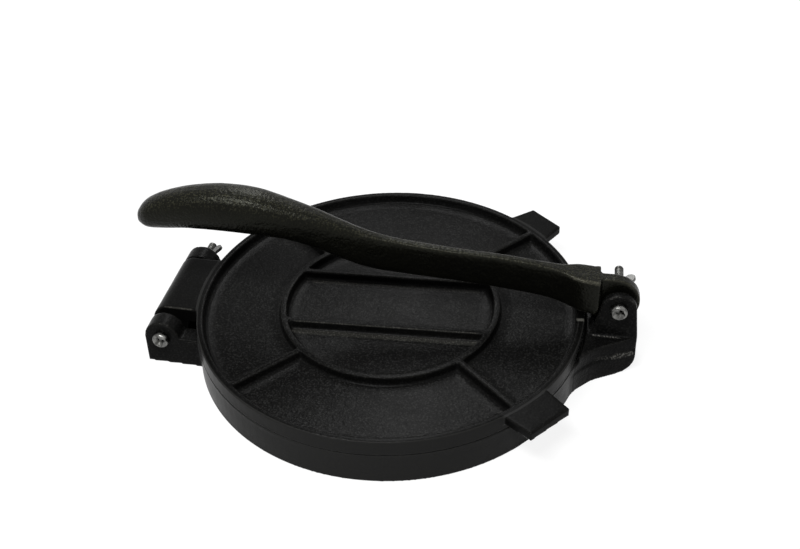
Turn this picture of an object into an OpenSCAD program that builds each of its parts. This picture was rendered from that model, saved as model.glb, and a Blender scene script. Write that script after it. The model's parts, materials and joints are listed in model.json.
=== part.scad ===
// Cast-iron tortilla press: a base, a hinged upper plate and a long lever.
// Millimetres. +X runs towards the lever's pivot, the plate's hinge is at -X, +Z is up.
// The origin is on the table, below the middle of the plates. The press is shut.

/* [Plates] */
// Diameter of both plates
plate_d = 214; // [200:1:232]
// Height of the base, from the table to its pressing face
base_h = 18.5; // [16:0.5:24]
// Thickness of the web under the base's pressing face
base_web = 4.2; // [3.6:0.1:7]
// Thickness of the base's outer wall
base_wall = 4.5; // [4:0.5:8]
// Height of the upper plate, from its pressing face to the top of its rim
upper_h = 9.2; // [8.5:0.1:11]
// Thickness of the upper plate's web
upper_web = 3.6; // [3:0.1:4.5]
// Width of the upper plate's rim
rim_w = 3.4; // [2.8:0.1:6]
// Width of the chamfer round the pressing faces
face_chamfer = 0.4; // [0.3:0.1:1.5]
// Gap left between faces that press on each other
press_gap = 0.3; // [0.2:0.05:0.5]

/* [Ribs] */
// Width of a rib at its top
rib_w = 3.2; // [2.4:0.1:5]
// How far a rib's side leans out at its foot
rib_draft = 0.9; // [0.3:0.1:1.5]
// How far the ribs stop short of the rim's top
rib_drop = 0.4; // [0.2:0.1:1.5]
// Outer diameter of the ring rib
ring_d = 121.4; // [112:0.2:130]
// Clear height of the name panel between its two straight ribs
panel_w = 40; // [34:1:46]
// Sideways place of the name panel's centre line
panel_y = 3; // [0:0.5:6]
// Diameter of the boss in the middle of the base's underside
boss_d = 26; // [20:1:40]

/* [Finger tabs] */
// Length of the front tab beyond the rim
front_tab_reach = 16.5; // [10:0.5:20]
// Width of the front tab at its outer edge
front_tab_tip_w = 27; // [20:0.5:30]
// Angle of the front tab
front_tab_a = -42; // [-50:1:-38]
// Length of the rear tab beyond the rim
rear_tab_reach = 14; // [10:0.5:20]
// Width of the rear tab at its outer edge
rear_tab_tip_w = 23; // [18:0.5:30]
// Angle of the rear tab
rear_tab_a = 47; // [40:1:52]
// Width of both tabs where they leave the rim
tab_root_w = 31; // [30:0.5:34]
// Thickness of the tabs
tab_t = 5.2; // [4:0.1:7]

/* [Plate hinge] */
// Distance of the hinge line outside the plates' edge
hinge_reach = 13; // [12.5:0.5:18]
// Radius of the hinge's knuckle
knuckle_r = 10.3; // [9.5:0.1:11]
// Distance between the hinge's two ears
hinge_slot_w = 51; // [42:0.5:56]
// Sideways place of the hinge's middle
hinge_y = 4.5; // [0:0.5:6]
// Turn of the hinge line, seen from above
hinge_turn = -5; // [-6:0.5:6]
// Thickness of each ear of the hinge
hinge_ear_t = 10.5; // [7:0.5:12]
// Gap between the knuckle and the front ear
hinge_front_gap = 4.3; // [0.5:0.1:6]
// Gap between the knuckle and the rear ear
hinge_rear_gap = 1; // [0.5:0.1:3]
// Gap between the knuckle and the web that joins the two ears under it
hinge_web_gap = 0.9; // [0.6:0.1:3]

/* [Lever pivot] */
// Distance of the lever's pivot outside the plates' edge
pivot_reach = 17.4; // [17:0.1:19]
// Sideways place of the lever
lever_y = 1; // [0:0.5:4]
// Radius of the pivot ears' round tops
pivot_ear_r = 9.5; // [8.5:0.1:10]
// Thickness of each pivot ear
pivot_ear_t = 4.6; // [4:0.1:6]
// Thickness of the lever's tongue
tongue_t = 6.3; // [5:0.1:7]
// Side gap between the tongue and each ear
tongue_gap = 1.6; // [1:0.1:2]
// Radius of the tongue's round end
tongue_r = 14.2; // [13:0.1:14.4]
// Height of the bracket under the ears
bracket_h = 22; // [20:0.5:22.5]
// Height of the ledge along the bracket's flanks
ledge_h = 12.5; // [8:0.5:16]
// Length of the ears' feet towards the plates
ear_foot = 13.4; // [12:0.1:13.8]
// Length of the bracket beyond the pivot
bracket_end = 11.2; // [10.6:0.1:11.6]
// Width of the bracket at its outer end
bracket_w = 21; // [19.5:0.5:24]
// Angle at which each flank of the bracket widens towards the base
bracket_flare = 27; // [20:1:36]
// Radius of the fillets between the bracket and the base
bracket_fillet = 38; // [10:1:44]
// Radius of the bracket's rounded lower end
bracket_round = 9; // [5:0.5:12]

/* [Lever] */
// Length of the lever, from its pivot to its tip
lever_len = 261; // [250:1:275]
// Height of the grip's middle above the pivot
grip_rise = 45.8; // [40:0.2:50]
// Thickness of the grip, from its back to its underside
grip_h = 25.6; // [22:0.2:30]
// Width of the grip
grip_w = 22.4; // [18:0.2:28]
// Distance from the pivot to the shoulder's leaning end
nose_at = 10.6; // [10.2:0.1:12]
// Thickness of the blade between the shoulder and the grip
blade_t = 5.8; // [5:0.2:8]

/* [Press pad] */
// Height of the pad that the lever presses on, above the rim
pad_h = 7.5; // [6:0.5:8]
// Thickness of the pad, along the lever
pad_t = 4.3; // [3.5:0.1:4.4]
// Width of the pad, across the lever
pad_w = 9; // [7:0.5:10]

/* [Screws] */
// Nominal diameter of both screws
screw_d = 5; // [4:0.5:5.5]
// Diameter of a screw's pan head
head_d = 9.5; // [8:0.5:11]
// Height of a screw's pan head
head_h = 3.4; // [2.5:0.1:4]
// Width of the head's cross recess
recess_w = 5.2; // [4:0.1:6]
// Depth of the cross recess
recess_depth = 1.8; // [1:0.1:2.2]
// Running clearance of each screw in its bores
bore_gap = 0.08; // [0.03:0.01:0.1]
// Length of the hinge's screw beyond its wing nut
hinge_screw_out = 8.5; // [3:0.5:12]
// Length of the pivot's screw beyond its wing nut
pivot_screw_out = 12; // [3:0.5:14]

/* [Wing nuts] */
// Diameter of a wing nut's hub at its foot
nut_d = 10; // [9:0.5:12]
// Height of a wing nut's hub
nut_h = 6; // [4.5:0.5:8]
// Distance between the tips of the two wings
wing_span = 18; // [16:1:26]
// Height of the wings above the ear
wing_h = 10.5; // [9:0.5:13]
// Radius of a wing's tip
wing_tip_r = 2.8; // [1.8:0.1:3]
// Thickness of a wing
wing_t = 2; // [1.5:0.1:2.6]
// Turn of the hinge's wing nut about its screw
hinge_wing_a = -28; // [-90:1:90]
// Turn of the pivot's wing nut about its screw
pivot_wing_a = -12; // [-90:1:90]

/* [Hidden] */
$fn = 96;
eps = 0.01;
// How far one shape runs into the next, and a cut past what it cuts
run_on = 1;
iron = [0.09, 0.09, 0.085];
zinc = [0.78, 0.79, 0.8];

// Plates
plate_r = plate_d / 2;
upper_z = base_h + press_gap;
rim_z = upper_z + upper_h;
floor_z = upper_z + upper_web;
rib_h = rim_z - rib_drop - floor_z;
wall_draft = 1.5;
floor_r = plate_r - rim_w - wall_draft;
ring_r = ring_d / 2;
rib_angles = [45, 135, 225, 315];
// The underside ribs stop above the table, so that the press stands on its wall and its boss.
under_rib_z = 2;

// Plate hinge
hinge_x = -plate_r - hinge_reach;
hinge_z = rim_z - knuckle_r;
hinge_ear_r = knuckle_r - press_gap;
hinge_in = hinge_slot_w / 2;
hinge_out = hinge_in + hinge_ear_t;
hinge_web_h = hinge_z - knuckle_r - hinge_web_gap;
// How far a part reaches under its plate's edge, so that the two are one casting
overlap = 8;

// Lever, in [distance from the pivot, height of its middle, half height, half width, squareness]
lever_shape = [
    [12.5, 5.2, 11, 8.2, 12],
    [22, 7, 10.8, 7.6, 10],
    [31, 8.9, 10.6, blade_t / 2 + 1.5, 7],
    [42, 11.2, 10.4, blade_t / 2 + 0.4, 5],
    [62, 14.2, 10.4, blade_t / 2, 5],
    [88, 17, 10, blade_t / 2, 5],
    [118, 20.4, 10.5, blade_t / 2 + 0.3, 4.5],
    [136, 24, 11.2, blade_t / 2 + 1.3, 4],
    [lever_len - 111, grip_rise - 16.2, grip_h / 2 - 1.5, grip_w / 2 - 5.4, 3.2],
    [lever_len - 98, grip_rise - 10.4, grip_h / 2 - 1.8, grip_w / 2 - 3.6, 2.8],
    [lever_len - 83, grip_rise - 5.2, grip_h / 2 - 1.6, grip_w / 2 - 1.6, 2.5],
    [lever_len - 66, grip_rise - 1.4, grip_h / 2, grip_w / 2 - 0.2, 2.4],
    [lever_len - 47, grip_rise, grip_h / 2, grip_w / 2, 2.4],
    [lever_len - 29, grip_rise - 1, grip_h / 2 - 1.2, grip_w / 2 - 1, 2.4],
    [lever_len - 15, grip_rise - 3.7, grip_h / 2 - 2.6, grip_w / 2 - 2.4, 2.4],
    [lever_len - 5, grip_rise - 6.6, grip_h / 2 - 5, grip_w / 2 - 4.4, 2.3],
    [lever_len, grip_rise - 8.6, 3.4, 3, 2.2]
];
lever_steps = 4;
lever_sides = 24;

// Screws and nuts
screw_r = screw_d / 2;
tip_chamfer = 0.8;
recess_t = 1.1;
nut_taper = 1.4;
bore_r = screw_r + bore_gap;

// Catmull-Rom blend of four neighbouring rows of a shape, at t from 0 to 1
function blend_rows(a, b, c, d, t) =
    0.5 * (2 * b + (c - a) * t + (2 * a - 5 * b + 4 * c - d) * t * t + (3 * b - a - 3 * c + d) * t * t * t);

// Row i of a shape, with the first and last rows repeated beyond its ends
function row(shape, i) = shape[max(0, min(len(shape) - 1, i))];

// Every station of the lever, from its shoulder to its tip
lever_rows = concat(
    [for (i = [0:len(lever_shape) - 2], k = [0:lever_steps - 1])
        blend_rows(row(lever_shape, i - 1), row(lever_shape, i), row(lever_shape, i + 1),
            row(lever_shape, i + 2), k / lever_steps)],
    [lever_shape[len(lever_shape) - 1]]
);

// Height of the lever's underside, above the pivot, at distance s from the pivot
function underside_at(s) = lookup(s, [for (r = lever_rows) [r[0], r[1] - r[2]]]);

// Lever pivot: its height follows from the lever resting on the pad
pivot_x = plate_r + pivot_reach;
pad_inset = 0.35;
pad_x = plate_r - pad_t / 2 - pad_inset;
pad_z = rim_z + pad_h;
pivot_z = pad_z + press_gap - underside_at(pivot_x - pad_x);
// The shoulder's end leans from its lowest point up to this height below the pivot.
nose_low = -1.4;
nose_inset = 0.15;
slot_w = tongue_t + 2 * tongue_gap;
ears_w = slot_w + 2 * pivot_ear_t;
// The tongue's round end is set back from the pivot, and a little above it.
tongue_back = 3.2;
tongue_up = 1;
// The slot between the ears is deep enough for the tongue's round end as the lever swings over.
slot_z = pivot_z - tongue_r - tongue_back - tongue_up - 2 * press_gap;
// Gap between the upper plate's edge and the pivot's ears
edge_gap = 1.2;
// How far the bracket's fillets cut into the base's edge, where they run out
fillet_bite = 0.2;

// A point of a superellipse of half height h and half width w
function rounded(angle, h, w, square) = [
    w * sign(cos(angle)) * pow(abs(cos(angle)), 2 / square),
    h * sign(sin(angle)) * pow(abs(sin(angle)), 2 / square)
];

// The point where a line from p touches a circle of radius r about c, on the given side
function touch_point(p, c, r, side) =
    let (d = c - p, dist = norm(d), lean = asin(r / dist), reach = sqrt(dist * dist - r * r))
    p + reach * [cos(atan2(d[1], d[0]) + side * lean), sin(atan2(d[1], d[0]) + side * lean)];

// A cylinder along Y, from y0 to y1, about the line through x and z
module across(x, z, y0, y1, r) {
    translate([x, y0, z]) rotate([-90, 0, 0]) cylinder(h = y1 - y0, r = r);
}

// An outline in X and Z, given thickness along Y from y0 to y1
module upright(y0, y1) {
    translate([0, y1, 0]) rotate([90, 0, 0]) linear_extrude(height = y1 - y0) children();
}

// A straight rib with leaning sides, on the floor at z, along X from x0 to x1
module straight_rib(x0, x1, z, height) {
    translate([x0, 0, z]) rotate([90, 0, 90]) linear_extrude(height = x1 - x0)
        polygon([[-rib_w / 2 - rib_draft, 0], [rib_w / 2 + rib_draft, 0], [rib_w / 2, height],
            [-rib_w / 2, height]]);
}

// The ring rib, on the floor at z
module ring_rib(z, height) {
    translate([0, 0, z]) rotate_extrude()
        polygon([[ring_r - rib_w - rib_draft, 0], [ring_r + rib_draft, 0], [ring_r, height],
            [ring_r - rib_w, height]]);
}

// Base

module base_plate() {
    inner_r = plate_r - base_wall;
    under_z = base_h - base_web;
    rotate_extrude()
        polygon([[0, under_z], [inner_r - wall_draft, under_z], [inner_r, 0], [plate_r, 0],
            [plate_r, base_h - face_chamfer], [plate_r - face_chamfer, base_h], [0, base_h]]);
    cylinder(h = base_h - base_web / 2, d = boss_d);
    translate([0, 0, base_h - base_web / 2]) mirror([0, 0, 1])
        ring_rib(0, base_h - base_web / 2 - under_rib_z);
    for (a = rib_angles)
        rotate([0, 0, a]) translate([0, 0, base_h - base_web / 2]) mirror([0, 0, 1])
            straight_rib(boss_d / 2 - overlap, inner_r, 0, base_h - base_web / 2 - under_rib_z);
}

// Puts what is drawn along the hinge line, with its middle at y = 0, in its place
module on_hinge() {
    translate([hinge_x, hinge_y, 0]) rotate([0, 0, hinge_turn]) translate([-hinge_x, 0, 0]) children();
}

module hinge_ear(y0) {
    across(hinge_x, hinge_z, y0, y0 + hinge_ear_t, hinge_ear_r);
    translate([hinge_x - hinge_ear_r, y0, 0])
        cube([hinge_reach + hinge_ear_r + overlap, hinge_ear_t, hinge_z]);
    translate([hinge_x, y0, 0]) cube([hinge_reach + overlap, hinge_ear_t, base_h]);
}

// Joins the two ears to each other and to the base's wall, under the knuckle
module hinge_web() {
    translate([hinge_x, -hinge_in - run_on, 0])
        cube([hinge_reach + overlap, 2 * (hinge_in + run_on), hinge_web_h]);
}

// One flank of the bracket in plan, from the lever's line out to the fillet where it meets the base.
// The bracket is end_w wide at its outer end.
module bracket_flank(side, end_w) {
    outward = [sin(bracket_flare), side * cos(bracket_flare)];
    back = [-cos(bracket_flare), side * sin(bracket_flare)];
    corner = [pivot_x + bracket_end, lever_y + side * end_w / 2];
    start = corner + bracket_fillet * outward;
    // The fillet's centre is one radius from the flank, and cuts a little into the base's edge
    away = start * back;
    centre_r = plate_r + bracket_fillet - fillet_bite;
    reach = -away - sqrt(away * away - start * start + centre_r * centre_r);
    centre = start + reach * back;
    foot = centre * plate_r / centre_r;
    difference() {
        polygon([[corner[0], lever_y], corner, centre - bracket_fillet * outward, centre, foot,
            foot * (1 - overlap / plate_r), [plate_r - overlap, lever_y]]);
        translate(centre) circle(r = bracket_fillet);
    }
}

// The flared block that carries the two pivot ears
module pivot_bracket() {
    intersection() {
        union() {
            bracket_block(ledge_h, bracket_w);
            bracket_block(bracket_h, ears_w);
        }
        upright(-plate_r, plate_r) bracket_side(0, pivot_x + bracket_end);
    }
}

module bracket_block(height, end_w) {
    linear_extrude(height = height)
        for (side = [-1, 1])
            bracket_flank(side, end_w);
}

// Side outline of the bracket: square at the base, with a round lower end
module bracket_side(x0, x1) {
    translate([x0, 0]) square([x1 - bracket_round - x0, bracket_h]);
    translate([x1 - bracket_round - eps, bracket_round])
        square([bracket_round + eps, bracket_h - bracket_round]);
    translate([x1 - bracket_round, bracket_round]) circle(r = bracket_round);
}

module pivot_ears() {
    foot = [pivot_x - ear_foot, bracket_h];
    heel = [pivot_x + bracket_end, bracket_h];
    centre = [pivot_x, pivot_z];
    across(pivot_x, pivot_z, -ears_w / 2, ears_w / 2, pivot_ear_r);
    upright(-ears_w / 2, ears_w / 2)
        polygon([foot - [0, run_on], heel - [0, run_on], heel,
            touch_point(heel, centre, pivot_ear_r, -1), centre,
            touch_point(foot, centre, pivot_ear_r, 1), foot]);
}

module base() {
    color(iron) difference() {
        union() {
            base_plate();
            on_hinge() {
                hinge_ear(hinge_in);
                hinge_ear(-hinge_out);
                hinge_web();
            }
            // The bracket stops at the edge of the pressing face, clear of the upper plate
            difference() {
                union() {
                    pivot_bracket();
                    translate([0, lever_y, 0]) pivot_ears();
                }
                translate([0, 0, base_h]) cylinder(h = bracket_h, r = plate_r + edge_gap);
                translate([0, 0, -eps]) cylinder(h = base_h + 2 * eps, r = plate_r - base_wall / 2);
            }
        }
        on_hinge() across(hinge_x, hinge_z, -hinge_out - run_on, hinge_out + run_on, bore_r);
        translate([pivot_x - ear_foot - run_on, lever_y - slot_w / 2, slot_z])
            cube([ear_foot + bracket_end + 2 * run_on, slot_w, pivot_z]);
        across(pivot_x, pivot_z, lever_y - ears_w, lever_y + ears_w, bore_r);
    }
}

// Upper plate

module finger_tab(angle, reach, tip_w) {
    rotate([0, 0, angle]) translate([0, 0, rim_z - tab_t]) linear_extrude(height = tab_t)
        polygon([[plate_r - overlap, -tab_root_w / 2], [plate_r + reach, -tip_w / 2],
            [plate_r + reach, tip_w / 2], [plate_r - overlap, tab_root_w / 2]]);
}

module knuckle() {
    y0 = -hinge_in + hinge_front_gap;
    y1 = hinge_in - hinge_rear_gap;
    across(hinge_x, hinge_z, y0, y1, knuckle_r);
    translate([hinge_x, y0, upper_z]) cube([hinge_reach + overlap, y1 - y0, upper_h]);
}

module press_pad() {
    r = pad_t / 2;
    translate([pad_x - r, lever_y - pad_w / 2, floor_z]) cube([pad_t, pad_w, pad_z - r - floor_z]);
    across(pad_x, pad_z - r, lever_y - pad_w / 2, lever_y + pad_w / 2, r);
}

module panel_rib(y) {
    half = sqrt(pow(ring_r - rib_w / 2, 2) - y * y);
    translate([0, y, 0]) straight_rib(-half, half, floor_z - eps, rib_h + eps);
}

module upper_plate() {
    inner_r = plate_r - rim_w;
    color(iron) difference() {
        union() {
            difference() {
                union() {
                    translate([0, 0, upper_z]) rotate_extrude()
                        polygon([[0, 0], [plate_r - face_chamfer, 0], [plate_r, face_chamfer],
                            [plate_r, upper_h], [0, upper_h]]);
                    finger_tab(front_tab_a, front_tab_reach, front_tab_tip_w);
                    finger_tab(rear_tab_a, rear_tab_reach, rear_tab_tip_w);
                    on_hinge() knuckle();
                }
                rotate_extrude()
                    polygon([[0, floor_z], [floor_r, floor_z], [inner_r, rim_z], [inner_r, rim_z + run_on],
                        [0, rim_z + run_on]]);
            }
            ring_rib(floor_z - eps, rib_h + eps);
            for (a = rib_angles)
                rotate([0, 0, a]) straight_rib(ring_r - rib_w / 2, inner_r + rim_w / 3, floor_z - eps,
                    rib_h + eps);
            panel_rib(panel_y - panel_w / 2 - rib_w / 2);
            panel_rib(panel_y + panel_w / 2 + rib_w / 2);
            press_pad();
        }
        on_hinge() across(hinge_x, hinge_z, -hinge_in, hinge_in, bore_r);
    }
}

// Lever

module lever_arm() {
    last = len(lever_rows) - 1;
    points = [for (r = lever_rows, k = [0:lever_sides - 1])
        let (p = rounded(360 * (k + 0.5) / lever_sides, r[2], r[3], r[4]))
        [pivot_x - r[0], lever_y + p[0], pivot_z + r[1] + p[1]]];
    sides = [for (i = [0:last - 1], k = [0:lever_sides - 1])
        let (a = i * lever_sides + k, b = i * lever_sides + (k + 1) % lever_sides)
        [a, b, b + lever_sides, a + lever_sides]];
    polyhedron(points, concat(sides, [[for (k = [lever_sides - 1:-1:0]) k]],
        [[for (k = [0:lever_sides - 1]) last * lever_sides + k]]));
}

// The shoulder's end leans over the ears.
module shoulder_nose() {
    first = lever_rows[0];
    low = first[1] - first[2] + nose_inset;
    high = first[1] + first[2] - nose_inset;
    half = first[3] - nose_inset;
    upright(lever_y - half, lever_y + half)
        polygon([for (p = [[nose_at, high], [first[0] + run_on, high], [first[0] + run_on, low],
            [first[0], low], [nose_at, nose_low]]) [pivot_x - p[0], pivot_z + p[1]]]);
}

module tongue() {
    y0 = lever_y - tongue_t / 2;
    centre = [pivot_x - tongue_back, pivot_z + tongue_up];
    root = lever_rows[1];
    across(centre[0], centre[1], y0, y0 + tongue_t, tongue_r);
    upright(y0, y0 + tongue_t)
        polygon([centre + [0, tongue_r], [pivot_x - root[0], pivot_z + root[1] + root[2] - run_on],
            [pivot_x - root[0], pivot_z + root[1] - root[2] + run_on], centre - [0, tongue_r / 2]]);
}

module lever() {
    color(iron) difference() {
        union() {
            lever_arm();
            shoulder_nose();
            tongue();
        }
        across(pivot_x, pivot_z, lever_y - tongue_t, lever_y + tongue_t, bore_r);
    }
}

// Screws, along Y, with the head's seat at y0 and the nut's seat at y0 + grip

module screw(x, z, y0, grip, out) {
    length = grip + nut_h + out;
    side_h = head_h / 3;
    color(zinc) translate([x, y0, z]) rotate([-90, 0, 0]) difference() {
        rotate_extrude()
            polygon([[0, -head_h], [head_d / 3, -head_h], [head_d * 0.45, -(head_h + side_h) / 2],
                [head_d / 2, -side_h], [head_d / 2, 0], [screw_r, 0], [screw_r, length - tip_chamfer],
                [screw_r - tip_chamfer, length], [0, length]]);
        for (a = [45, 135])
            rotate([0, 0, a]) translate([-recess_w / 2, -recess_t / 2, -head_h - run_on])
                cube([recess_w, recess_t, recess_depth + run_on]);
    }
}

module hinge_screw() {
    on_hinge() screw(hinge_x, hinge_z, -hinge_out, 2 * hinge_out, hinge_screw_out);
}

module pivot_screw() {
    screw(pivot_x, pivot_z, lever_y - ears_w / 2, ears_w, pivot_screw_out);
}

// A wing nut on a screw along Y, with its foot at y0, turned by an angle
module wing_nut(x, z, y0, turn) {
    color(zinc) translate([x, y0, z]) rotate([-90, 0, 0]) rotate([0, 0, turn]) difference() {
        union() {
            cylinder(h = nut_h, d1 = nut_d, d2 = nut_d - nut_taper);
            rotate([90, 0, 0]) translate([0, 0, -wing_t / 2]) linear_extrude(height = wing_t) {
                wing_outline();
                mirror([1, 0]) wing_outline();
            }
        }
        translate([0, 0, -run_on]) cylinder(h = wing_h + 2 * run_on, r = bore_r);
    }
}

// One wing, from the hub out to a round tip
module wing_outline() {
    tip = [wing_span / 2 - wing_tip_r, wing_h - wing_tip_r];
    hub = nut_d / 2 - nut_taper;
    translate(tip) circle(r = wing_tip_r);
    polygon([[0, run_on], [hub, run_on], tip + wing_tip_r * [cos(-30), sin(-30)],
        tip + wing_tip_r * [cos(135), sin(135)], [hub, nut_h - run_on], [0, nut_h - run_on]]);
}

module hinge_wing_nut() {
    on_hinge() wing_nut(hinge_x, hinge_z, hinge_out, hinge_wing_a);
}

module pivot_wing_nut() {
    wing_nut(pivot_x, pivot_z, lever_y + ears_w / 2, pivot_wing_a);
}

base();
upper_plate();
lever();
hinge_screw();
hinge_wing_nut();
pivot_screw();
pivot_wing_nut();
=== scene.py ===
import json
import math

import bmesh
import bpy
import numpy as np
from mathutils import Matrix, Vector, kdtree


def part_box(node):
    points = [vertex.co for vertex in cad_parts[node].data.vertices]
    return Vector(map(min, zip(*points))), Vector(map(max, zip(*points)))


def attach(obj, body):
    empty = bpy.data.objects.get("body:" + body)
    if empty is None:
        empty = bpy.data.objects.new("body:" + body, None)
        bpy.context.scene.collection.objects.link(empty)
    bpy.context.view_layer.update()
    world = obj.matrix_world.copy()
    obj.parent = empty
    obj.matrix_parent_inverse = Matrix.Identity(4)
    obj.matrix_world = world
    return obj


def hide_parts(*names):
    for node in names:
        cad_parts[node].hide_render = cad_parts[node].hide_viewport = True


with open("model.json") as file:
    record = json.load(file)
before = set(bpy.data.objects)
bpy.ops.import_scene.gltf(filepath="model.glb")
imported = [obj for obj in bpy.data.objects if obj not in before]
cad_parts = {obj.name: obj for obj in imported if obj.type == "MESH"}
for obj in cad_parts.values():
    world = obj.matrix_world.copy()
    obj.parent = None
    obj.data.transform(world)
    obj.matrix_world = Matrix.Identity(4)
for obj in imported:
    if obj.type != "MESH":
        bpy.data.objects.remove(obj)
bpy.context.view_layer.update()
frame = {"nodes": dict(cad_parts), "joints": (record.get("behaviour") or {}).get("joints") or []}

nodes = frame["nodes"]
joints = {j["name"]: j for j in frame["joints"]}
mm = 0.001
plateRadius, baseFace = 107 * mm, 18.5 * mm  # both plates' outer wall, and the base's pressing face
print("frame loaded:", ", ".join(sorted(nodes)))

cameraView = {
    "place": (0.0881, -0.5360, 0.4794),
    "turn": 8.7105,  # degrees round Z, 0 looks along +Y
    "height": 38.4852,  # degrees above the table
    "roll": -1.7346,
    "lens": 57.36,
    "sensor": 36.0,
}


def addCamera(view):
    turn, height, roll = (math.radians(view[k]) for k in ("turn", "height", "roll"))
    back = Vector((math.sin(turn) * math.cos(height), -math.cos(turn) * math.cos(height), math.sin(height)))
    right = Vector((math.cos(turn), math.sin(turn), 0))
    up = back.cross(right)
    rolledRight = math.cos(roll) * right + math.sin(roll) * up
    rolledUp = math.cos(roll) * up - math.sin(roll) * right
    data = bpy.data.cameras.new("camera")
    data.lens = view["lens"]
    data.sensor_width = view["sensor"]
    data.clip_start = 0.01
    data.clip_end = 20
    camera = bpy.data.objects.new("camera", data)
    facing = Matrix((rolledRight, rolledUp, back)).transposed().to_4x4()
    camera.matrix_world = Matrix.Translation(view["place"]) @ facing
    bpy.context.scene.collection.objects.link(camera)
    bpy.context.scene.camera = camera


studio = {
    "floorSize": 6.0,
    "floorDrop": 0.1 * mm,  # keeps the floor just under the base's foot
    "floorColor": (0.8, 0.8, 0.8, 1),
    "floorGlow": 0.88,  # what the camera sees of the floor besides its own shading
    "floorSeen": 0.18,
    "farAway": (0.3, 0.9),  # between these distances the floor's glow grows to the backdrop's white
    "ambient": 0.1,
    "aim": (0, 0, 0.02),
    "lamps": {
        # name: place, size, power in watts
        "key": ((-0.14, -0.4, 0.85), (0.5, 0.18), 7.5),
        "back": ((-0.08, 0.58, 0.82), (0.22, 0.55), 3.8),
    },
}


def addLamp(name, aim, place, size, power):
    data = bpy.data.lights.new(name, "AREA")
    data.shape = "RECTANGLE"
    data.size, data.size_y = size
    data.energy = power
    lamp = bpy.data.objects.new(name, data)
    lamp.location = place
    lamp.rotation_euler = (Vector(aim) - Vector(place)).to_track_quat("-Z", "Y").to_euler()
    bpy.context.scene.collection.objects.link(lamp)


def seenRays(tree):
    # 1 for rays that show the background: the camera's, and those in metal and glass
    path = tree.nodes.new("ShaderNodeLightPath")
    value = path.outputs["Is Camera Ray"]
    for other in ("Is Glossy Ray", "Is Transmission Ray"):
        either = tree.nodes.new("ShaderNodeMath")
        either.operation = "MAXIMUM"
        tree.links.new(value, either.inputs[0])
        tree.links.new(path.outputs[other], either.inputs[1])
        value = either.outputs[0]
    return value


def makeWorld(look):
    world = bpy.data.worlds.new("studio")
    world.use_nodes = True
    bpy.context.scene.world = world
    tree = world.node_tree
    background = tree.nodes["Background"]
    background.inputs["Color"].default_value = (1, 1, 1, 1)
    level = tree.nodes.new("ShaderNodeMapRange")
    level.inputs["To Min"].default_value = look["ambient"]
    level.inputs["To Max"].default_value = 1
    tree.links.new(seenRays(tree), level.inputs["Value"])
    tree.links.new(level.outputs[0], background.inputs["Strength"])


def makePaper(look):
    # plain for the light that falls on it, near white to whatever looks at it
    paper = bpy.data.materials.new("studioPaper")
    paper.use_nodes = True
    tree = paper.node_tree
    surface = tree.nodes["Principled BSDF"]
    surface.inputs["Base Color"].default_value = look["floorColor"]
    surface.inputs["Roughness"].default_value = 0.9
    surface.inputs["Specular IOR Level"].default_value = 0.1
    shade = tree.nodes.new("ShaderNodeBsdfDiffuse")
    shade.inputs["Color"].default_value = (look["floorSeen"],) * 3 + (1,)
    glow = tree.nodes.new("ShaderNodeEmission")
    distance = tree.nodes.new("ShaderNodeVectorMath")
    distance.operation = "LENGTH"
    tree.links.new(tree.nodes.new("ShaderNodeTexCoord").outputs["Object"], distance.inputs[0])
    fade = tree.nodes.new("ShaderNodeMapRange")
    fade.interpolation_type = "SMOOTHSTEP"
    fade.inputs["From Min"].default_value, fade.inputs["From Max"].default_value = look["farAway"]
    fade.inputs["To Min"].default_value = look["floorGlow"]
    fade.inputs["To Max"].default_value = 1
    tree.links.new(distance.outputs["Value"], fade.inputs["Value"])
    tree.links.new(fade.outputs[0], glow.inputs["Strength"])
    both = tree.nodes.new("ShaderNodeAddShader")
    tree.links.new(shade.outputs[0], both.inputs[0])
    tree.links.new(glow.outputs[0], both.inputs[1])
    pick = tree.nodes.new("ShaderNodeMixShader")
    tree.links.new(seenRays(tree), pick.inputs["Fac"])
    tree.links.new(surface.outputs[0], pick.inputs[1])
    tree.links.new(both.outputs[0], pick.inputs[2])
    tree.links.new(pick.outputs[0], tree.nodes["Material Output"].inputs["Surface"])
    return paper


def buildStudio(look):
    bpy.context.scene.view_settings.view_transform = "Standard"
    makeWorld(look)
    half = look["floorSize"] / 2
    corners = [(-half, -half, 0), (half, -half, 0), (half, half, 0), (-half, half, 0)]
    mesh = bpy.data.meshes.new("floor")
    mesh.from_pydata(corners, [], [(0, 1, 2, 3)])
    mesh.materials.append(makePaper(look))
    floor = bpy.data.objects.new("floor", mesh)
    floor.location.z = -look["floorDrop"]
    bpy.context.scene.collection.objects.link(floor)
    for name, lamp in look["lamps"].items():
        addLamp(name, look["aim"], *lamp)


addCamera(cameraView)
buildStudio(studio)
print("camera and studio ready")


# shader nodes, written short

def newGroup(name, inputs, outputs):
    group = bpy.data.node_groups.new(name, "ShaderNodeTree")
    for label, kind, value in inputs:
        socket = group.interface.new_socket(label, in_out="INPUT", socket_type=kind)
        if value is not None:
            socket.default_value = value
    for label, kind in outputs:
        group.interface.new_socket(label, in_out="OUTPUT", socket_type=kind)
    return group, group.nodes.new("NodeGroupInput"), group.nodes.new("NodeGroupOutput")


def math2(tree, operation, a, b, clamp=False):
    node = tree.nodes.new("ShaderNodeMath")
    node.operation = operation
    node.use_clamp = clamp
    for socket, value in zip(node.inputs, (a, b)):
        if isinstance(value, (int, float)):
            socket.default_value = value
        else:
            tree.links.new(value, socket)
    return node.outputs[0]


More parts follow.
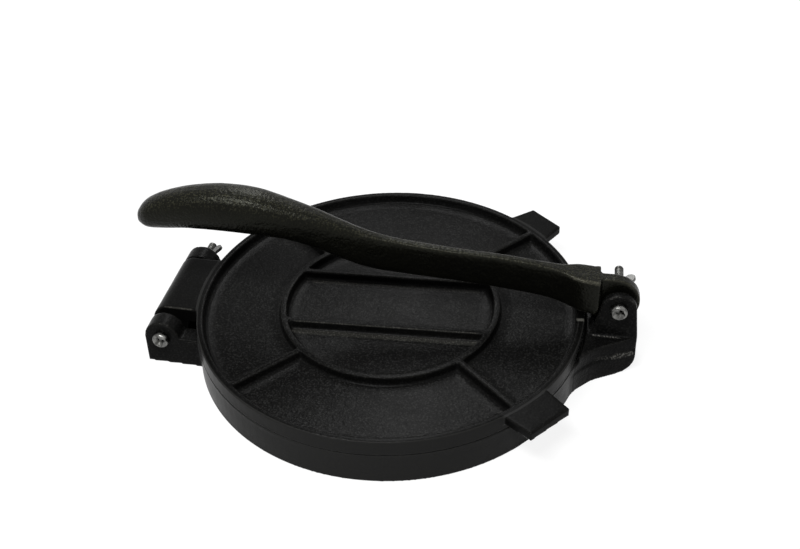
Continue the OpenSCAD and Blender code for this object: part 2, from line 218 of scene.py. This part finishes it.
def remap(tree, value, low, high, toLow=0.0, toHigh=1.0, smooth=True):
    node = tree.nodes.new("ShaderNodeMapRange")
    node.interpolation_type = "SMOOTHSTEP" if smooth else "LINEAR"
    tree.links.new(value, node.inputs["Value"])
    for label, number in (("From Min", low), ("From Max", high), ("To Min", toLow), ("To Max", toHigh)):
        if isinstance(number, (int, float)):
            node.inputs[label].default_value = number
        else:
            tree.links.new(number, node.inputs[label])
    return node.outputs["Result"]


def noise(tree, vector, scale, detail=2.0, rough=0.5):
    node = tree.nodes.new("ShaderNodeTexNoise")
    tree.links.new(vector, node.inputs["Vector"])
    node.inputs["Detail"].default_value = detail
    node.inputs["Roughness"].default_value = rough
    tree.links.new(scale, node.inputs["Scale"])
    return node.outputs["Fac"]


def mixColor(tree, factor, a, b):
    node = tree.nodes.new("ShaderNodeMix")
    node.data_type = "RGBA"
    tree.links.new(factor, node.inputs[0])
    for socket, value in ((node.inputs[6], a), (node.inputs[7], b)):
        if isinstance(value, bpy.types.NodeSocket):
            tree.links.new(value, socket)
        else:
            socket.default_value = (*value, 1)
    return node.outputs[2]


def addBump(tree, surface, height, depth):
    bump = tree.nodes.new("ShaderNodeBump")
    bump.inputs["Strength"].default_value = 1
    bump.inputs["Distance"].default_value = depth
    tree.links.new(height, bump.inputs["Height"])
    tree.links.new(bump.outputs[0], surface.inputs["Normal"])


def makeSandGrain():
    # the skin that a sand mould leaves: fine pebbles, a few open pits, broad patches
    group, inside, outside = newGroup(
        "sandGrain",
        [("Vector", "NodeSocketVector", None), ("Grain Size", "NodeSocketFloat", 0.7 * mm),
         ("Patch Size", "NodeSocketFloat", 30 * mm)],
        [("Height", "NodeSocketFloat"), ("Speckle", "NodeSocketFloat"), ("Pits", "NodeSocketFloat"),
         ("Patches", "NodeSocketFloat")],
    )
    vector = inside.outputs["Vector"]
    scale = math2(group, "DIVIDE", 1.0, inside.outputs["Grain Size"])
    fine = noise(group, vector, scale, 2.5, 0.6)
    coarse = noise(group, vector, math2(group, "MULTIPLY", scale, 0.31))
    cells = group.nodes.new("ShaderNodeTexVoronoi")
    cells.feature = "SMOOTH_F1"
    cells.inputs["Smoothness"].default_value = 0.6
    group.links.new(vector, cells.inputs["Vector"])
    group.links.new(math2(group, "MULTIPLY", scale, 0.75), cells.inputs["Scale"])
    pebbles = math2(group, "SUBTRACT", 1.0, cells.outputs["Distance"])
    height = math2(group, "ADD", math2(group, "MULTIPLY", fine, 0.5), math2(group, "MULTIPLY", coarse, 0.55))
    height = math2(group, "ADD", height, math2(group, "MULTIPLY", pebbles, 0.3))
    pits = remap(group, noise(group, vector, math2(group, "MULTIPLY", scale, 0.2), 1.0), 0.68, 0.76)
    height = math2(group, "SUBTRACT", height, math2(group, "MULTIPLY", pits, 0.1))
    speckle = remap(group, noise(group, vector, math2(group, "MULTIPLY", scale, 1.25), 1.0), 0.5, 0.68)
    patchScale = math2(group, "DIVIDE", 1.0, inside.outputs["Patch Size"])
    patches = remap(group, noise(group, vector, patchScale, 3.0, 0.55), 0.3, 0.7)
    for label, value in (("Height", height), ("Speckle", speckle), ("Pits", pits), ("Patches", patches)):
        group.links.new(value, outside.inputs[label])
    return group


def makeEdgeRub():
    # where handling and tumbling have rubbed the edges, broken up by the grain
    group, inside, outside = newGroup(
        "edgeRub",
        [("Vector", "NodeSocketVector", None), ("Edge", "NodeSocketFloat", 0.0),
         ("Break Size", "NodeSocketFloat", 3 * mm)],
        [("Rub", "NodeSocketFloat"), ("Hollow", "NodeSocketFloat")],
    )
    edge = inside.outputs["Edge"]
    scale = math2(group, "DIVIDE", 1.0, inside.outputs["Break Size"])
    broken = remap(group, noise(group, inside.outputs["Vector"], scale, 3.0, 0.65), 0.35, 0.65, 0.25, 1.0)
    convex = remap(group, edge, 0.12, 0.7)
    hollow = remap(group, math2(group, "MULTIPLY", edge, -1.0), 0.1, 0.6)
    group.links.new(math2(group, "MULTIPLY", convex, broken), outside.inputs["Rub"])
    group.links.new(hollow, outside.inputs["Hollow"])
    return group


def makeNearLine():
    # 1 close to the straight line from Start to End, 0 further from it than Width
    group, inside, outside = newGroup(
        "nearLine",
        [("Vector", "NodeSocketVector", None), ("Start", "NodeSocketVector", None),
         ("End", "NodeSocketVector", None), ("Width", "NodeSocketFloat", 1 * mm)],
        [("Mask", "NodeSocketFloat")],
    )

    def vector2(operation, a, b, output="Vector"):
        node = group.nodes.new("ShaderNodeVectorMath")
        node.operation = operation
        group.links.new(a, node.inputs[0])
        group.links.new(b, node.inputs["Scale" if operation == "SCALE" else 1])
        return node.outputs[output]

    start, width = inside.outputs["Start"], inside.outputs["Width"]
    away = vector2("SUBTRACT", inside.outputs["Vector"], start)
    run = vector2("SUBTRACT", inside.outputs["End"], start)
    share = math2(group, "DIVIDE", vector2("DOT_PRODUCT", away, run, "Value"),
                  vector2("DOT_PRODUCT", run, run, "Value"), clamp=True)
    gap = vector2("DISTANCE", away, vector2("SCALE", run, share), "Value")
    mask = remap(group, gap, width, math2(group, "MULTIPLY", width, 0.4))
    group.links.new(mask, outside.inputs["Mask"])
    return group


sandGrain = makeSandGrain()
nearLine = makeNearLine()
edgeRub = makeEdgeRub()


def useGroup(tree, group, vector, **values):
    node = tree.nodes.new("ShaderNodeGroup")
    node.node_tree = group
    tree.links.new(vector, node.inputs["Vector"])
    for label, value in values.items():
        socket = node.inputs[label.replace("_", " ")]
        if isinstance(value, bpy.types.NodeSocket):
            tree.links.new(value, socket)
        else:
            socket.default_value = value
    return node.outputs


def newMaterial(name):
    material = bpy.data.materials.new(name)
    material.use_nodes = True
    tree = material.node_tree
    return material, tree, tree.nodes["Principled BSDF"], tree.nodes.new("ShaderNodeTexCoord").outputs


def readAttribute(tree, name):
    node = tree.nodes.new("ShaderNodeAttribute")
    node.attribute_name = name
    return node.outputs["Fac"]


def radiusFromMiddle(tree, place):
    flat = tree.nodes.new("ShaderNodeVectorMath")
    flat.operation = "MULTIPLY"
    flat.inputs[1].default_value = (1, 1, 0)
    tree.links.new(place, flat.inputs[0])
    length = tree.nodes.new("ShaderNodeVectorMath")
    length.operation = "LENGTH"
    tree.links.new(flat.outputs[0], length.inputs[0])
    return length.outputs["Value"]


def makeCastIron(name, look):
    material, tree, surface, coord = newMaterial(name)
    place = coord["Object"]
    grain = useGroup(tree, sandGrain, place, Grain_Size=look["grainSize"], Patch_Size=look["patchSize"])
    rub = useGroup(tree, edgeRub, place, Edge=readAttribute(tree, "edge"), Break_Size=look["rubSize"])
    color = mixColor(tree, grain["Patches"], look["dark"], look["light"])

    # pale speckled film, partly painted glints: mostly on what lies flat, which paints the tops lighter and the
    # upright walls darker as light from above falls; less outside the rim, and less in the hollows as painted
    # shade
    radius = radiusFromMiddle(tree, place)
    coarse = remap(tree, radius, *look["grainFades"], look["outerGrain"], 1.0)
    facing = tree.nodes.new("ShaderNodeSeparateXYZ")
    tree.links.new(coord["Normal"], facing.inputs[0])
    paleFilmAndGlint = math2(tree, "MULTIPLY", math2(tree, "MULTIPLY", grain["Speckle"], coarse), look["speckle"])
    paleFilmAndGlint = math2(tree, "MULTIPLY", paleFilmAndGlint, remap(tree, facing.outputs["Z"], 0.05, 0.75, look["uprightShare"], 1.0))
    paleFilmAndGlint = math2(tree, "MULTIPLY", paleFilmAndGlint, remap(tree, rub["Hollow"], 0, 1, 1.0, look["hollowShare"]))
    color = mixColor(tree, paleFilmAndGlint, color, look["paleFilmAndGlint"])

    # the plates' outer wall is ground smooth, and painted lighter for the light it gets bounced from the floor
    off = math2(tree, "ABSOLUTE", math2(tree, "SUBTRACT", radius, plateRadius), 0)
    groundAndLitWall = math2(tree, "MULTIPLY", remap(tree, off, 0.9 * mm, 0.5 * mm), look["groundAndLitWall"])
    color = mixColor(tree, groundAndLitWall, color, look["wall"])
    coarse = math2(tree, "MULTIPLY", coarse, remap(tree, groundAndLitWall, 0, 1, 1.0, 0.3))

    # wear on the edges, painted highlights along the lines that are named (with wear from the lever at its
    # pad), then dust in the hollows
    color = mixColor(tree, math2(tree, "MULTIPLY", rub["Rub"], look["rub"]), color, look["bareAndHighlight"])
    patchy = remap(tree, grain["Speckle"], 0, 1, look["lineLeast"], 1.0)
    for start, end, width, amount in look["wearAndHighlightLines"]:
        mask = useGroup(tree, nearLine, place, Start=start, End=end, Width=width)["Mask"]
        lineMark = math2(tree, "MULTIPLY", math2(tree, "MULTIPLY", mask, amount), patchy, clamp=True)
        color = mixColor(tree, lineMark, color, look["bareAndHighlight"])
    color = mixColor(tree, math2(tree, "MULTIPLY", rub["Hollow"], look["dust"]), color, look["paleFilmAndGlint"])
    tree.links.new(color, surface.inputs["Base Color"])

    rough = remap(tree, grain["Patches"], 0, 1, look["roughHigh"], look["roughLow"], smooth=False)
    rough = math2(tree, "SUBTRACT", rough, math2(tree, "MULTIPLY", rub["Rub"], 0.1))
    rough = math2(tree, "ADD", rough, math2(tree, "MULTIPLY", grain["Pits"], 0.04), clamp=True)
    tree.links.new(rough, surface.inputs["Roughness"])
    surface.inputs["Specular IOR Level"].default_value = look["shine"]
    surface.inputs["Specular Tint"].default_value = look["tint"]
    addBump(tree, surface, math2(tree, "MULTIPLY", grain["Height"], coarse), look["grainDepth"])
    return material


def makeZinc(name, look):
    material, tree, surface, coord = newMaterial(name)
    place = coord["Object"]
    grain = useGroup(tree, sandGrain, place, Grain_Size=look["grainSize"], Patch_Size=look["patchSize"])
    color = mixColor(tree, grain["Patches"], look["dark"], look["light"])
    color = mixColor(tree, math2(tree, "MULTIPLY", grain["Speckle"], look["dullness"]), color, look["dull"])
    # painted shade: darker deeper in the cross recess and in the thread's grooves, where shade falls
    recessShade = math2(tree, "MULTIPLY", readAttribute(tree, "recessShade"), look["recessShade"])
    color = mixColor(tree, recessShade, color, look["recessShadeColor"])
    tree.links.new(color, surface.inputs["Base Color"])
    rough = remap(tree, grain["Patches"], 0, 1, look["roughLow"], look["roughHigh"], smooth=False)
    tree.links.new(rough, surface.inputs["Roughness"])
    surface.inputs["Metallic"].default_value = 1
    addBump(tree, surface, grain["Height"], look["grainDepth"])
    return material


print("shader groups ready")


# pieces and meshes

def addPiece(name, mesh, material, body, node):
    piece = bpy.data.objects.new(name, mesh)
    bpy.context.scene.collection.objects.link(piece)
    mesh.materials.clear()
    mesh.materials.append(material)
    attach(piece, body)
    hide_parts(node)


def weldedCopy(node):
    mesh = nodes[node].data.copy()
    work = bmesh.new()
    work.from_mesh(mesh)
    bmesh.ops.remove_doubles(work, verts=work.verts, dist=1e-6)
    bmesh.ops.recalc_face_normals(work, faces=work.faces)
    work.to_mesh(mesh)
    work.free()
    return mesh


def withModifiers(mesh, steps):
    # steps: modifier kind and its settings, applied in order
    holder = bpy.data.objects.new("holder", mesh)
    bpy.context.scene.collection.objects.link(holder)
    for kind, settings in steps:
        modifier = holder.modifiers.new(kind, kind)
        for key, value in settings.items():
            setattr(modifier, key, value)
    graph = bpy.context.evaluated_depsgraph_get()
    result = bpy.data.meshes.new_from_object(holder.evaluated_get(graph))
    bpy.data.objects.remove(holder)
    return result


def readVectors(items, key):
    flat = np.empty(len(items) * 3, np.float32)
    items.foreach_get(key, flat)
    return flat.reshape(-1, 3).astype(float)


def coordsOf(mesh):
    return readVectors(mesh.vertices, "co")


def normalsOf(mesh):
    return readVectors(mesh.vertex_normals, "vector")


def setCoords(mesh, coords):
    mesh.vertices.foreach_set("co", coords.astype(np.float32).ravel())
    mesh.update()


def setAttribute(mesh, name, values):
    attribute = mesh.attributes.new(name, "FLOAT", "POINT")
    attribute.data.foreach_set("value", values.astype(np.float32))


def clouds(name, size):
    texture = bpy.data.textures.new(name, "CLOUDS")
    texture.noise_scale = size
    texture.noise_depth = 2
    return texture


bendScale = 1.5 * mm  # a bend this tight counts as a full edge or a full hollow
sharpAngle = math.radians(62)


def bendOf(mesh):
    # above 0 where the surface is convex, below 0 in a corner or fillet
    coords, normals = coordsOf(mesh), normalsOf(mesh)
    ends = np.empty(len(mesh.edges) * 2, np.int32)
    mesh.edges.foreach_get("vertices", ends)
    a, b = ends.reshape(-1, 2).T
    step = coords[b] - coords[a]
    bend = ((normals[b] - normals[a]) * step).sum(1) / np.maximum((step * step).sum(1), 1e-12)
    total = len(coords)
    count = np.maximum(np.bincount(a, minlength=total) + np.bincount(b, minlength=total), 1)

    def spread(perEdge):
        return (np.bincount(a, perEdge, total) + np.bincount(b, perEdge, total)) / count

    value = spread(bend)
    for _ in range(2):
        value = spread((value[a] + value[b]) / 2)
    return value * bendScale


def crispEdge(coords, radius, face, reach):
    # keeps the edge sharp where a plate's outer wall meets its pressing face
    r = np.hypot(coords[:, 0], coords[:, 1])
    inward, off = radius - r, np.abs(coords[:, 2] - face)
    near = (inward > -0.02 * mm) & (inward < reach) & (off < reach)
    wall = near & (inward < off)
    coords[wall, :2] *= (radius / r[wall])[:, None]
    coords[near & ~wall, 2] = face
    return coords


def swellFeet(coords, normals, swell):
    # inside the rim the floor swells up a little before it meets a rib or the rim
    floor, height = swell["floor"], swell["height"]
    r = np.hypot(coords[:, 0], coords[:, 1])
    low = (coords[:, 2] > floor - 0.3 * mm) & (coords[:, 2] < floor + height) & (r < swell["radius"])
    wall = low & (np.abs(normals[:, 2]) < 0.5) & (coords[:, 2] > floor + 0.8 * mm)
    walls = kdtree.KDTree(int(wall.sum()))
    for k, (x, y) in enumerate(coords[wall, :2]):
        walls.insert((x, y, 0), k)
    walls.balance()
    gap = np.array([walls.find((x, y, 0))[2] for x, y in coords[low, :2]])
    share = np.clip(1 - gap / swell["reach"], 0, 1) ** 2
    coords[low, 2] += swell["rise"] * share * np.clip(1 - (coords[low, 2] - floor) / height, 0, 1)
    return coords


def castingMesh(look):
    # the CAD shape with the soft edges, fillets and slight waviness of a sand casting
    node = look["node"]
    low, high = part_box(node)
    rough = withModifiers(weldedCopy(node), [
        ("REMESH", {"mode": "VOXEL", "voxel_size": look["voxel"] * 1}),
        ("SMOOTH", {"factor": 0.5, "iterations": look["edgeSoft"]}),
    ])
    soft = withModifiers(rough, [("SMOOTH", {"factor": 0.5, "iterations": look["filletSoft"]})])
    hollow = np.clip(-bendOf(soft), 0, 1)[:, None]
    coords = coordsOf(rough) * (1 - hollow) + coordsOf(soft) * hollow
    if "footSwell" in look:
        coords = swellFeet(coords, normalsOf(soft), look["footSwell"])
    setCoords(soft, coords)
    mesh = withModifiers(soft, [
        ("DISPLACE", {"texture": clouds(node + "Waves", look["waveSize"]), "texture_coords": "LOCAL",
                      "strength": look["waveDepth"], "mid_level": 0.8}),  # mostly inward
        ("DECIMATE", {"ratio": look["keep"]}),
    ])
    coords = coordsOf(mesh)
    for edge in look.get("crisp", ()):
        coords = crispEdge(coords, *edge)
    setCoords(mesh, np.clip(coords, np.array(low), np.array(high)))
    mesh.shade_smooth()
    mesh.set_sharp_from_angle(angle=sharpAngle)
    setAttribute(mesh, "edge", np.clip(bendOf(mesh), -1, 1))
    return mesh


def addCasting(name, look):
    iron = makeCastIron(name + "Iron", look)
    mesh = castingMesh(look)
    addPiece(name + "Casting", mesh, iron, look["body"], look["node"])
    print("cast", name, len(mesh.polygons), "faces")


def millimetres(*lines):
    # lines of painted highlight and wear: start, end, width and how strongly each is painted
    return [(tuple(v * mm for v in a), tuple(v * mm for v in b), width * mm, bareAndHighlight)
            for a, b, width, bareAndHighlight in lines]


castIron = {  # what the three castings share
    "patchSize": 34 * mm,
    "rubSize": 2 * mm,
    "grainFades": (105.5 * mm, 103.5 * mm),  # radii between which the grain fades outwards
    "wall": (0.018, 0.018, 0.0175),  # the ground outer wall, painted lighter for the light it gets bounced from the floor
    "dust": 0.04,  # pale dust in the hollows
    "hollowShare": 0.2,  # how much of the pale film is left in the hollows; the rest is painted shade there
}

baseLook = {
    **castIron,
    "node": "base",
    "body": "base",
    "slot": "base_iron",
    "voxel": 0.7 * mm,
    "edgeSoft": 3,
    "filletSoft": 10,
    "waveSize": 9 * mm,
    "waveDepth": 0.12 * mm,
    "keep": 0.3,
    "crisp": [(plateRadius, baseFace, 1.4 * mm), (plateRadius, 0, 1.4 * mm)],
    "dark": (0.0024, 0.0024, 0.0023),
    "light": (0.0042, 0.0042, 0.0041),
    "paleFilmAndGlint": (0.027, 0.027, 0.026),
    "bareAndHighlight": (0.1, 0.098, 0.09),
    "grainSize": 1.1 * mm,
    "grainDepth": 0.3 * mm,
    "speckle": 0.4,
    "uprightShare": 0.9,  # how much of the pale film is left on upright walls, which are painted darker than the tops as light from above falls
    "outerGrain": 0.8,  # how much of the grain is left outside the rim
    "groundAndLitWall": 1.0,
    "rub": 0.07,
    "roughLow": 0.25,
    "roughHigh": 0.32,
    "shine": 0.03,
    "tint": (1, 1, 1, 1),  # of the gloss
    "lineLeast": 0.12,  # the lowest share of painted highlight and wear along such a line, between its specks
    # painted highlights along the ledges, the bracket's shoulder and the ears' round tops
    "wearAndHighlightLines": millimetres(
        ((112, -8.9, 22), (126, -9.6, 22), 0.7, 1.3),  # the ledge at the pivot's front ear
        ((114, -19.5, 14.5), (124, -15.2, 12.8), 1.6, 0.3),  # the flared bracket's shoulder
        ((124, -15.2, 12.8), (133, -10.8, 12.4), 2.2, 1.3),
        ((119, -8, 47.5), (124.5, -8.2, 49.5), 0.8, 0.6),  # the round tops of the front ears
        ((129, -8.2, 48.2), (133, -8.2, 44), 0.8, 0.3),
        ((-123, -30.2, 27.6), (-118, -30.6, 26.6), 0.7, 0.6),  # the hinge's front ear, and its shoulder
        ((-108, -32, 17), (-101, -32.5, 17), 0.9, 0.5),
    ),
}
addCasting("base", baseLook)

upperPlateLook = {
    **castIron,
    "node": "upper_plate",
    "body": "upper_plate",
    "slot": "plate_iron",
    "voxel": 0.6 * mm,
    "edgeSoft": 3,
    "filletSoft": 10,
    "waveSize": 9 * mm,
    "waveDepth": 0.12 * mm,
    "keep": 0.35,
    "crisp": [(plateRadius, baseFace + 0.01 * mm, 1.4 * mm)],
    # radius is inside the rim, and height is where a rib's wall stops giving way
    "footSwell": {"floor": 22.4 * mm, "radius": 103.5 * mm, "reach": 6.5 * mm, "rise": 0.75 * mm,
                  "height": 3.2 * mm},
    "dark": (0.0022, 0.0022, 0.0021),
    "light": (0.0038, 0.0038, 0.0037),
    "paleFilmAndGlint": (0.027, 0.027, 0.026),
    "bareAndHighlight": (0.09, 0.088, 0.078),
    "grainSize": 1.1 * mm,
    "grainDepth": 0.18 * mm,
    "speckle": 0.5,
    "uprightShare": 0.25,
    "outerGrain": 0.35,
    "groundAndLitWall": 1.0,
    "rub": 0.06,
    "roughLow": 0.25,
    "roughHigh": 0.32,
    "shine": 0.025,
    "tint": (1, 1, 1, 1),
    "lineLeast": 0.4,
    # painted highlights along the panel ribs' edges and feet and the knuckle's edge; at the pad, wear from the
    # lever and painted highlight
    "wearAndHighlightLines": millimetres(
        ((-50, -20.4, 27.5), (50, -20.4, 27.5), 0.8, 0.7),  # the panel's front rib, its edge and foot
        ((-50, -23.4, 23), (50, -23.4, 23), 2.2, 0.5),
        ((-47, 20.2, 22.9), (47, 20.2, 22.9), 1.8, 0.4),  # the panel's rear rib, its foot and edge
        ((-48, 22.9, 27.5), (48, 22.9, 27.5), 0.8, 0.25),
        ((102.6, -3.6, 35), (106.4, -3.6, 35), 1.2, 1.6),  # the pad that the lever presses on
        ((102.6, -4, 28), (106.4, -4, 28), 1.2, 2.2),
        ((-124, -16.4, 27.6), (-109, -17.4, 28), 0.8, 0.6),  # the knuckle's front edge
    ),
}
addCasting("upperPlate", upperPlateLook)

leverLook = {
    **castIron,
    "node": "lever",
    "body": "lever",
    "slot": "lever_iron",
    "voxel": 0.6 * mm,
    "edgeSoft": 4,
    "filletSoft": 7,
    "waveSize": 8 * mm,
    "waveDepth": 0.16 * mm,
    "keep": 0.5,
    "dark": (0.0018, 0.0018, 0.0014),
    "light": (0.0034, 0.0034, 0.0025),
    "paleFilmAndGlint": (0.05, 0.049, 0.031),
    "bareAndHighlight": (0.1, 0.096, 0.074),
    "grainSize": 1.2 * mm,
    "grainDepth": 0.42 * mm,
    "speckle": 0.42,
    "uprightShare": 0.1,
    "outerGrain": 1.0,
    "groundAndLitWall": 0.0,
    "rub": 0.25,
    "roughLow": 0.25,
    "roughHigh": 0.32,
    "shine": 0.1,
    "tint": (0.98, 1, 0.84, 1),
    "lineLeast": 0.4,
    # a painted highlight along the crease
    "wearAndHighlightLines": millimetres(  # the crease where the blade meets the shoulder
        ((84, -4, 60.6), (97, -5.6, 58.3), 1.6, 0.3),
        ((97, -5.6, 58.3), (113, -6.8, 56), 1.8, 0.6),
    ),
}
addCasting("lever", leverLook)


def latheMesh(rings, around):
    # rings: distance along the axis and a function or number for the radius; capped at both ends
    verts, faces = [], []
    for along, radius in rings:
        for k in range(around):
            turn = 2 * math.pi * k / around
            r = radius(turn) if callable(radius) else radius
            verts.append((r * math.cos(turn), r * math.sin(turn), along))
    for i in range(len(rings) - 1):
        for k in range(around):
            a, b = i * around + k, i * around + (k + 1) % around
            faces.append((a, b, b + around, a + around))
    faces.append(tuple(reversed(range(around))))
    last = (len(rings) - 1) * around
    faces.append(tuple(last + k for k in range(around)))
    mesh = bpy.data.meshes.new("lathe")
    mesh.from_pydata(verts, [], faces)
    return mesh


def crossMesh(look):
    # the driver's recess: a cross that tapers to its bottom
    top = -look["headHeight"]
    verts = []
    for along, share in ((top - 0.5 * mm, 1.1), (top + look["recessDeep"], 0.4)):
        arm, half = look["recessWide"] / 2 * share, look["recessThick"] / 2 * (0.5 + share / 2)
        for k in range(4):
            turn = math.pi / 4 + k * math.pi / 2
            cos, sin = math.cos(turn), math.sin(turn)
            for x, y in ((arm, -half), (arm, half), (half, half)):
                verts.append((x * cos - y * sin, x * sin + y * cos, along))
    faces = [tuple(reversed(range(12))), tuple(range(12, 24))]
    faces += [(k, (k + 1) % 12, (k + 1) % 12 + 12, k + 12) for k in range(12)]
    mesh = bpy.data.meshes.new("recess")
    mesh.from_pydata(verts, [], faces)
    return mesh


def screwMesh(look, length):
    # along +Z, with the head's seat at 0
    headR, headH, shaftR = look["headRadius"], look["headHeight"], look["shaftRadius"]
    plain = length * look["plainShare"]
    rings = []
    for k in range(look["headRound"] + 1):
        turn = math.pi / 2 * k / look["headRound"]
        rings.append((-headH * (0.35 + 0.65 * math.cos(turn)), headR * (0.72 + 0.28 * math.sin(turn))))
    rings += [(-0.25 * mm, headR), (0, headR - 0.25 * mm), (0, shaftR), (plain, shaftR)]
    steps = round((length - plain) / look["pitch"] * look["ringsPerTurn"])
    for i in range(1, steps + 1):
        along = plain + (length - plain) * i / steps
        grow = min(1.0, i / look["ringsPerTurn"])
        tipCut = max(0.0, along - (length - 0.8 * mm))

        def radius(turn, along=along, grow=grow, tipCut=tipCut):
            phase = (along / look["pitch"] - turn / (2 * math.pi)) % 1.0
            groove = look["threadDepth"] * grow * min(1.0, abs(2 * phase - 1) * 1.25)
            return min(shaftR - groove, shaftR - tipCut * 0.9)

        rings.append((along, radius))
    mesh = latheMesh(rings, look["around"])
    cutter = bpy.data.objects.new("cutter", crossMesh(look))
    bpy.context.scene.collection.objects.link(cutter)
    mesh = withModifiers(mesh, [("BOOLEAN", {"object": cutter, "operation": "DIFFERENCE", "solver": "EXACT"})])
    bpy.data.objects.remove(cutter)
    mesh.shade_smooth()
    coords = coordsOf(mesh)
    r = np.hypot(coords[:, 0], coords[:, 1])
    # painted shade: a mask that grows with depth in the cross recess and in the thread's grooves
    depth = coords[:, 2] + headH * (1 - 0.12 * (r / headR) ** 2)
    inRecess = (r < look["recessWide"] * 0.5) & (coords[:, 2] < 0)
    recessShade = np.where(inRecess, np.clip(depth / (0.8 * mm), 0, 1), 0)
    inThread = np.where(coords[:, 2] > 0, np.clip((shaftR - r) / look["threadDepth"], 0, 1), 0)
    setAttribute(mesh, "recessShade", np.maximum(recessShade, inThread))
    return mesh


def axisFrame(joint):
    # turns +Z into the joint's axis direction that points at +Y, at the joint's place
    axis = Vector(joint["axis"])
    if axis.y < 0:
        axis = -axis
    return Matrix.Translation(joint["pos_m"]) @ axis.to_track_quat("Z", "X").to_matrix().to_4x4(), axis


def addScrew(name, look):
    joint = joints[look["joint"]]
    place, axis = axisFrame(joint)
    along = (coordsOf(nodes[look["node"]].data) - np.array(joint["pos_m"])) @ np.array(axis)
    seat, tip = along.min() + look["headHeight"], along.max()
    mesh = screwMesh(look, tip - seat)
    turned = Matrix.Rotation(math.radians(look["turn"]), 4, "Z")
    mesh.transform(place @ Matrix.Translation((0, 0, seat)) @ turned)
    addPiece(name + "Piece", mesh, brightZinc, "base", look["node"])
    print("screw", name, round(seat * 1000, 1), round(tip * 1000, 1))


zincLook = {
    "dark": (0.07, 0.07, 0.067),
    "light": (0.22, 0.22, 0.21),
    "dull": (0.04, 0.04, 0.038),
    "dullness": 0.35,
    "grainSize": 0.5 * mm,
    "patchSize": 2.5 * mm,
    "roughLow": 0.22,
    "roughHigh": 0.36,
    "grainDepth": 0.01 * mm,
    # painted shade in the screws' cross recess and thread grooves
    "recessShade": 0.9,
    "recessShadeColor": (0.02, 0.02, 0.018),
}
brightZinc = makeZinc("brightZinc", zincLook)

panScrew = {  # both screws are the same make
    "headRadius": 4.75 * mm,
    "headHeight": 3.4 * mm,
    "shaftRadius": 2.5 * mm,
    "plainShare": 0.4,  # of the length, before the thread starts
    "pitch": 0.8 * mm,
    "threadDepth": 0.42 * mm,
    "recessWide": 6.6 * mm,
    "recessThick": 1.9 * mm,
    "recessDeep": 2.5 * mm,
    "headRound": 5,
    "around": 48,
    "ringsPerTurn": 8,
}

hingeScrewLook = {**panScrew, "node": "hinge_screw", "joint": "plate_hinge", "turn": 20}
addScrew("hingeScrew", hingeScrewLook)

pivotScrewLook = {**panScrew, "node": "pivot_screw", "joint": "lever_swing", "turn": 65}
addScrew("pivotScrew", pivotScrewLook)

dullZinc = makeZinc("dullZinc", {
    **zincLook,
    "dark": (0.1, 0.1, 0.096),
    "light": (0.16, 0.16, 0.155),
    "roughLow": 0.3,
    "roughHigh": 0.48,
    "grainSize": 0.4 * mm,
    "grainDepth": 0.03 * mm,
})

wingNut = {
    "voxel": 0.24 * mm,
    "edgeSoft": 3,
    "filletSoft": 4,
    "waveSize": 2 * mm,
    "waveDepth": 0.05 * mm,
    "keep": 0.5,
}

hingeWingNutLook = {**wingNut, "node": "hinge_wing_nut"}
pivotWingNutLook = {**wingNut, "node": "pivot_wing_nut"}
for name, look in (("hingeWingNut", hingeWingNutLook), ("pivotWingNut", pivotWingNutLook)):
    addPiece(name + "Piece", castingMesh(look), dullZinc, "base", look["node"])
print("wing nuts on")
